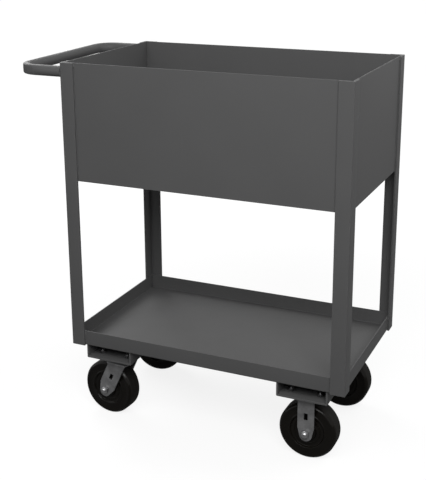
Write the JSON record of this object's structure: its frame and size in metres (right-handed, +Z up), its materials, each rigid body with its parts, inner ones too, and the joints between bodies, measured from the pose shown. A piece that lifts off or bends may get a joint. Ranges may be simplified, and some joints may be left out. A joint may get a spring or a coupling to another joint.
{
  "type": "service cart",
  "caption": "Steel service cart with a deep open box over a low tray, angle corner posts, a tubular push handle, and swivel and rigid casters.",
  "frame": {"origin": "on the floor, under the middle of the overall length and width", "axes": "+X from the push handle towards the front of the cart, +Y to the cart's left, +Z up"},
  "size_m": [0.909, 0.4572, 0.9843],
  "materials": {
    "powder_coat": "satin",
    "zinc_steel": "satin",
    "bright_steel": "satin",
    "bearing_steel": "polished",
    "wheel_resin": "matte"
  },
  "bodies": {
    "cart_body": {"post_front_right": "powder_coat", "post_front_left": "powder_coat", "post_rear_right": "powder_coat", "post_rear_left": "powder_coat", "box_panel_front": "powder_coat", "box_panel_rear": "powder_coat", "box_panel_left": "powder_coat", "box_panel_right": "powder_coat", "box_floor": "powder_coat", "lower_tray": "powder_coat", "caster_channel_front": "powder_coat", "caster_channel_rear": "powder_coat", "push_handle": "powder_coat", "rigid_plate_right": "zinc_steel", "rigid_fork_right": "zinc_steel", "swivel_plate_right": "zinc_steel", "swivel_race_right": "zinc_steel", "kingpin_right": "zinc_steel", "spanner_bushing_front_right": "bearing_steel", "axle_bolt_front_right": "bright_steel", "caster_bolt_front_right_1": "bright_steel", "caster_bolt_front_right_2": "bright_steel", "caster_bolt_front_right_3": "bright_steel", "caster_bolt_front_right_4": "bright_steel", "caster_bolt_rear_right_1": "bright_steel", "caster_bolt_rear_right_2": "bright_steel", "caster_bolt_rear_right_3": "bright_steel", "caster_bolt_rear_right_4": "bright_steel", "rigid_plate_left": "zinc_steel", "rigid_fork_left": "zinc_steel", "swivel_plate_left": "zinc_steel", "swivel_race_left": "zinc_steel", "kingpin_left": "zinc_steel", "spanner_bushing_front_left": "bearing_steel", "axle_bolt_front_left": "bright_steel", "caster_bolt_front_left_1": "bright_steel", "caster_bolt_front_left_2": "bright_steel", "caster_bolt_front_left_3": "bright_steel", "caster_bolt_front_left_4": "bright_steel", "caster_bolt_rear_left_1": "bright_steel", "caster_bolt_rear_left_2": "bright_steel", "caster_bolt_rear_left_3": "bright_steel", "caster_bolt_rear_left_4": "bright_steel"},
    "turntable_right": {"swivel_fork_right": "zinc_steel", "swivel_balls_right": "bearing_steel", "spanner_bushing_rear_right": "bearing_steel", "axle_bolt_rear_right": "bright_steel"},
    "turntable_left": {"swivel_fork_left": "zinc_steel", "swivel_balls_left": "bearing_steel", "spanner_bushing_rear_left": "bearing_steel", "axle_bolt_rear_left": "bright_steel"},
    "wheel_front_right_body": {"wheel_front_right": "wheel_resin", "roller_bearing_front_right": "bearing_steel"},
    "wheel_front_left_body": {"wheel_front_left": "wheel_resin", "roller_bearing_front_left": "bearing_steel"},
    "wheel_rear_right_body": {"wheel_rear_right": "wheel_resin", "roller_bearing_rear_right": "bearing_steel"},
    "wheel_rear_left_body": {"wheel_rear_left": "wheel_resin", "roller_bearing_rear_left": "bearing_steel"}
  },
  "joints": [
    {"name": "swivel_right", "type": "hinge", "parent": "cart_body", "child": "turntable_right", "pos_m": [-0.2021, -0.1468, 0.165], "axis": [0, 0, 1], "continuous": true},
    {"name": "swivel_left", "type": "hinge", "parent": "cart_body", "child": "turntable_left", "pos_m": [-0.2021, 0.1468, 0.165], "axis": [0, 0, 1], "continuous": true},
    {"name": "spin_rear_right", "type": "hinge", "parent": "turntable_right", "child": "wheel_rear_right_body", "pos_m": [-0.23647, -0.14379, 0.0762], "axis": [0.0872, 0.9962, 0], "continuous": true},
    {"name": "spin_rear_left", "type": "hinge", "parent": "turntable_left", "child": "wheel_rear_left_body", "pos_m": [-0.23641, 0.14319, 0.0762], "axis": [-0.1045, 0.9945, 0], "continuous": true},
    {"name": "spin_front_right", "type": "hinge", "parent": "cart_body", "child": "wheel_front_right_body", "pos_m": [0.3422, -0.1468, 0.0762], "axis": [0, 1, 0], "continuous": true},
    {"name": "spin_front_left", "type": "hinge", "parent": "cart_body", "child": "wheel_front_left_body", "pos_m": [0.3422, 0.1468, 0.0762], "axis": [0, 1, 0], "continuous": true}
  ]
}
